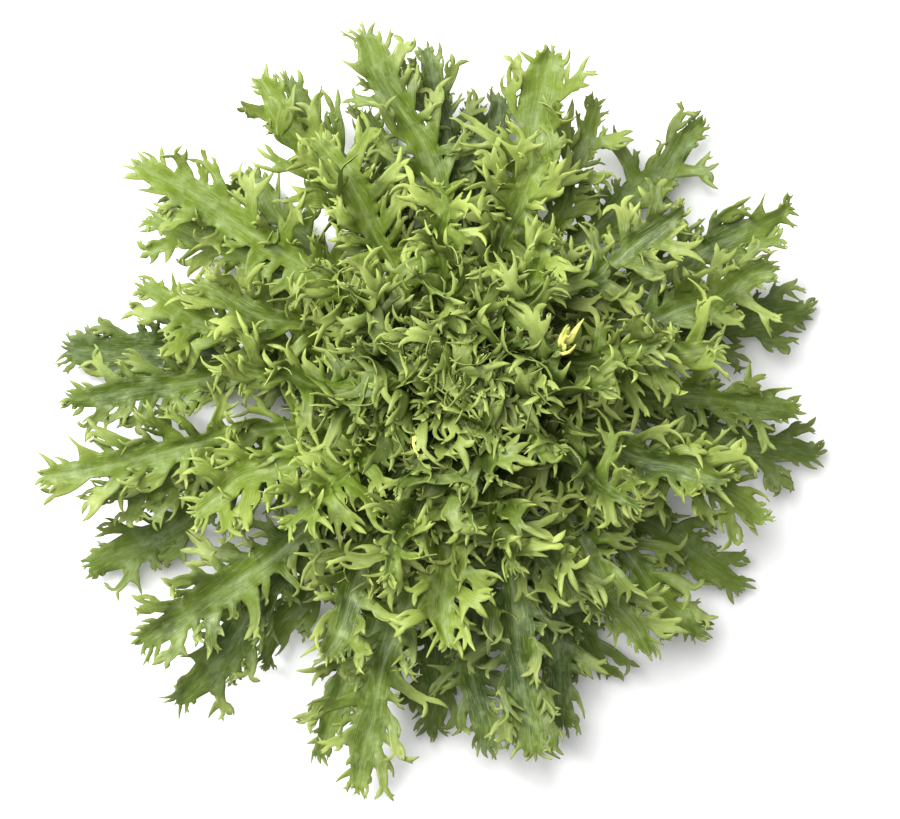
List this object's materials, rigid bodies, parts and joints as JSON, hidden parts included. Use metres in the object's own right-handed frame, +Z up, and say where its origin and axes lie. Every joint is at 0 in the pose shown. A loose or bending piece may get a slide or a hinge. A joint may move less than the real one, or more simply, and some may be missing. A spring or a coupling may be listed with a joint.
{
  "type": "curly endive head",
  "caption": "Head of curly endive resting on its cut stump, with whorls of toothed, curled leaves spread round a tufted heart.",
  "frame": {"origin": "centre of the stump's flat cut face, which is on the surface that the head rests on", "axes": "+Z up through the heart, away from the cut face; +X and +Y lie in the surface, with +X to the right and +Y to the top of the picture, which looks straight down"},
  "size_m": [0.3181, 0.3086, 0.0962],
  "materials": {
    "stump": "pale, slightly moist cut stalk",
    "outer_leaf": "satin dark green leaf with a pale flat rib",
    "lower_leaf": "satin mid green leaf with a pale flat rib",
    "middle_leaf": "satin mid green leaf, lighter along the rib and at the tips",
    "upper_leaf": "satin light green leaf, lighter along the rib and at the tips",
    "inner_leaf": "satin light yellow-green leaf",
    "heart": "satin yellow-green young leaves"
  },
  "bodies": {
    "root": {"stump": "stump", "outer_leaf_01": "outer_leaf", "outer_leaf_02": "outer_leaf", "outer_leaf_03": "outer_leaf", "outer_leaf_04": "outer_leaf", "outer_leaf_05": "outer_leaf", "outer_leaf_06": "outer_leaf", "outer_leaf_07": "outer_leaf", "outer_leaf_08": "outer_leaf", "outer_leaf_09": "outer_leaf", "outer_leaf_10": "outer_leaf", "outer_leaf_11": "outer_leaf", "outer_leaf_12": "outer_leaf", "lower_leaf_01": "lower_leaf", "lower_leaf_02": "lower_leaf", "lower_leaf_03": "lower_leaf", "lower_leaf_04": "lower_leaf", "lower_leaf_05": "lower_leaf", "lower_leaf_06": "lower_leaf", "lower_leaf_07": "lower_leaf", "lower_leaf_08": "lower_leaf", "lower_leaf_09": "lower_leaf", "lower_leaf_10": "lower_leaf", "lower_leaf_11": "lower_leaf", "lower_leaf_12": "lower_leaf", "lower_leaf_13": "lower_leaf", "middle_leaf_01": "middle_leaf", "middle_leaf_02": "middle_leaf", "middle_leaf_03": "middle_leaf", "middle_leaf_04": "middle_leaf", "middle_leaf_05": "middle_leaf", "middle_leaf_06": "middle_leaf", "middle_leaf_07": "middle_leaf", "middle_leaf_08": "middle_leaf", "middle_leaf_09": "middle_leaf", "middle_leaf_10": "middle_leaf", "middle_leaf_11": "middle_leaf", "middle_leaf_12": "middle_leaf", "upper_leaf_01": "upper_leaf", "upper_leaf_02": "upper_leaf", "upper_leaf_03": "upper_leaf", "upper_leaf_04": "upper_leaf", "upper_leaf_05": "upper_leaf", "upper_leaf_06": "upper_leaf", "upper_leaf_07": "upper_leaf", "upper_leaf_08": "upper_leaf", "upper_leaf_09": "upper_leaf", "upper_leaf_10": "upper_leaf", "inner_leaf_01": "inner_leaf", "inner_leaf_02": "inner_leaf", "inner_leaf_03": "inner_leaf", "inner_leaf_04": "inner_leaf", "inner_leaf_05": "inner_leaf", "inner_leaf_06": "inner_leaf", "inner_leaf_07": "inner_leaf", "inner_leaf_08": "inner_leaf", "inner_leaf_09": "inner_leaf", "heart": "heart"}
  },
  "joints": []
}
